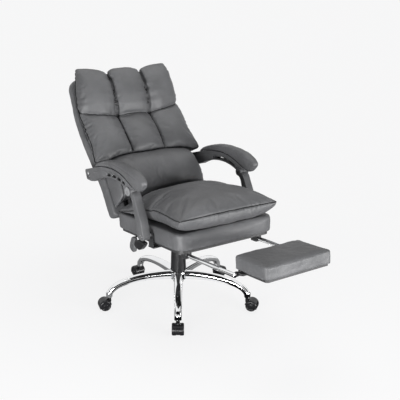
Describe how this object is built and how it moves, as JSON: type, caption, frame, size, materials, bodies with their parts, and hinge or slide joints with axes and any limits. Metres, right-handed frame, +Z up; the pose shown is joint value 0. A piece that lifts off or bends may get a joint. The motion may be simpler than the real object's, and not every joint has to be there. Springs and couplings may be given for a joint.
{
  "type": "reclining office chair with footrest",
  "caption": "Padded leather recliner office chair with a pull-out flip footrest, linked armrests that follow the back, and a chromed star base on twin-wheel casters.",
  "frame": {"origin": "on the floor, under the middle of the chair's overall box", "axes": "+Z up; the chair faces -Y with the footrest out, so the sitter's right hand is at -X; +X is the chair's width and +Y its length, toward the backrest"},
  "size_m": [0.738, 1.368, 1.0411],
  "materials": {
    "leather": "satin",
    "chrome": "polished",
    "steel": "satin",
    "black_plastic": "matte",
    "grey_plastic": "satin",
    "plywood": "matte"
  },
  "bodies": {
    "base": {"star_base": "chrome", "gas_outer_tube": "steel", "dust_cover": "black_plastic", "caster_stem_1": "steel", "caster_stem_2": "steel", "caster_stem_3": "steel", "caster_stem_4": "steel", "caster_stem_5": "steel"},
    "gas_rod": {"piston_rod": "steel"},
    "seat": {"gas_cylinder": "steel", "mechanism_housing": "steel", "seat_board": "plywood", "seat_base_pad": "leather", "seat_cushion": "leather", "arm_bracket_left": "steel", "arm_bracket_right": "steel", "arm_foot_bolt_left": "steel", "arm_foot_bolt_right": "steel", "footrest_guide_left": "black_plastic", "footrest_guide_right": "black_plastic", "back_hinge_plate_left": "steel", "back_hinge_plate_right": "steel", "back_hinge_pin_left": "steel", "back_hinge_pin_right": "steel"},
    "lift_lever": {"lift_lever": "black_plastic"},
    "recline_lever": {"recline_lever": "grey_plastic"},
    "back": {"back_shell": "leather", "back_pad": "leather", "lumbar_cushion": "leather", "back_bar_left": "steel", "back_bar_right": "steel", "arm_rear_stud_left": "steel", "arm_rear_stud_right": "steel"},
    "footrest_slide": {"footrest_rail_left": "chrome", "footrest_rail_right": "chrome", "footrest_pivot_rod": "steel"},
    "footrest_flip": {"footrest_board": "plywood", "footrest_pad": "leather", "footrest_ear_left": "black_plastic", "footrest_ear_right": "black_plastic"},
    "post_left": {"arm_post_left": "grey_plastic"},
    "arm_left": {"arm_arch_left": "grey_plastic", "arm_pad_left": "leather", "arm_pivot_pin_left": "grey_plastic"},
    "post_right": {"arm_post_right": "grey_plastic"},
    "arm_right": {"arm_arch_right": "grey_plastic", "arm_pad_right": "leather", "arm_pivot_pin_right": "grey_plastic"},
    "caster_1": {"caster_housing_1": "black_plastic"},
    "wheels_1": {"caster_wheels_1": "black_plastic"},
    "caster_2": {"caster_housing_2": "black_plastic"},
    "wheels_2": {"caster_wheels_2": "black_plastic"},
    "caster_3": {"caster_housing_3": "black_plastic"},
    "wheels_3": {"caster_wheels_3": "black_plastic"},
    "caster_4": {"caster_housing_4": "black_plastic"},
    "wheels_4": {"caster_wheels_4": "black_plastic"},
    "caster_5": {"caster_housing_5": "black_plastic"},
    "wheels_5": {"caster_wheels_5": "black_plastic"}
  },
  "joints": [
    {"name": "caster_1_swivel", "type": "hinge", "parent": "base", "child": "caster_1", "pos_m": [0.20453, -0.13814, 0.06], "axis": [0, 0, 1], "continuous": true},
    {"name": "caster_1_roll", "type": "hinge", "parent": "caster_1", "child": "wheels_1", "pos_m": [0.21816, -0.1554, 0.025], "axis": [0.7848, 0.6198, 0], "continuous": true},
    {"name": "caster_2_swivel", "type": "hinge", "parent": "base", "child": "caster_2", "pos_m": [0.3095, 0.23533, 0.06], "axis": [0, 0, 1], "continuous": true},
    {"name": "caster_2_roll", "type": "hinge", "parent": "caster_2", "child": "wheels_2", "pos_m": [0.33014, 0.24296, 0.025], "axis": [-0.3469, 0.9379, 0], "continuous": true},
    {"name": "caster_3_swivel", "type": "hinge", "parent": "base", "child": "caster_3", "pos_m": [-0.01324, 0.45058, 0.06], "axis": [0, 0, 1], "continuous": true},
    {"name": "caster_3_roll", "type": "hinge", "parent": "caster_3", "child": "wheels_3", "pos_m": [-0.01413, 0.47256, 0.025], "axis": [-0.9992, -0.0401, 0], "continuous": true},
    {"name": "caster_4_swivel", "type": "hinge", "parent": "base", "child": "caster_4", "pos_m": [-0.31769, 0.21014, 0.06], "axis": [0, 0, 1], "continuous": true},
    {"name": "caster_4_roll", "type": "hinge", "parent": "caster_4", "child": "wheels_4", "pos_m": [-0.33887, 0.21609, 0.025], "axis": [-0.2706, -0.9627, 0], "continuous": true},
    {"name": "caster_5_swivel", "type": "hinge", "parent": "base", "child": "caster_5", "pos_m": [-0.1831, -0.1537, 0.06], "axis": [0, 0, 1], "continuous": true},
    {"name": "caster_5_roll", "type": "hinge", "parent": "caster_5", "child": "wheels_5", "pos_m": [-0.19531, -0.17201, 0.025], "axis": [0.832, -0.5548, 0], "continuous": true},
    {"name": "seat_swivel", "type": "hinge", "parent": "base", "child": "gas_rod", "pos_m": [0, 0.12084, 0.1], "axis": [0, 0, 1], "continuous": true},
    {"name": "seat_height", "type": "slide", "parent": "gas_rod", "child": "seat", "axis": [0, 0, 1], "range_m": [0, 0.08]},
    {"name": "recline", "type": "hinge", "parent": "seat", "child": "back", "pos_m": [0, 0.30582, 0.42507], "axis": [-1, 0, 0], "range_deg": [-15, 30]},
    {"name": "arm_post_left", "type": "hinge", "parent": "seat", "child": "post_left", "pos_m": [0.2795, -0.06416, 0.43], "axis": [-1, 0, 0], "range_deg": [-15, 30]},
    {"name": "arm_left", "type": "hinge", "parent": "post_left", "child": "arm_left", "pos_m": [0.282, 0.03084, 0.602], "axis": [-1, 0, 0], "range_deg": [-30, 15]},
    {"name": "arm_post_right", "type": "hinge", "parent": "seat", "child": "post_right", "pos_m": [-0.2795, -0.06416, 0.43], "axis": [-1, 0, 0], "range_deg": [-15, 30]},
    {"name": "arm_right", "type": "hinge", "parent": "post_right", "child": "arm_right", "pos_m": [-0.282, 0.03084, 0.602], "axis": [-1, 0, 0], "range_deg": [-30, 15]},
    {"name": "footrest_slide", "type": "slide", "parent": "seat", "child": "footrest_slide", "axis": [0, 0.9969, -0.0785], "range_m": [0, 0.232]},
    {"name": "footrest_flip", "type": "hinge", "parent": "footrest_slide", "child": "footrest_flip", "pos_m": [0, -0.52311, 0.39864], "axis": [-1, 0, 0], "range_deg": [0, 180]},
    {"name": "lift_lever", "type": "hinge", "parent": "seat", "child": "lift_lever", "pos_m": [-0.15, 0.04619, 0.36738], "axis": [-1, 0, 0], "range_deg": [0, 12], "stiffness_Nm_per_rad": 4, "springref_deg": -8.59},
    {"name": "recline_lever", "type": "hinge", "parent": "seat", "child": "recline_lever", "pos_m": [-0.15, 0.11099, 0.36228], "axis": [-1, 0, 0], "range_deg": [0, 12], "stiffness_Nm_per_rad": 4, "springref_deg": -8.59}
  ],
  "couplings": [
    {"joint": "arm_post_left", "follows": "recline", "ratio": 1},
    {"joint": "arm_left", "follows": "recline", "ratio": -1},
    {"joint": "arm_post_right", "follows": "recline", "ratio": 1},
    {"joint": "arm_right", "follows": "recline", "ratio": -1}
  ]
}
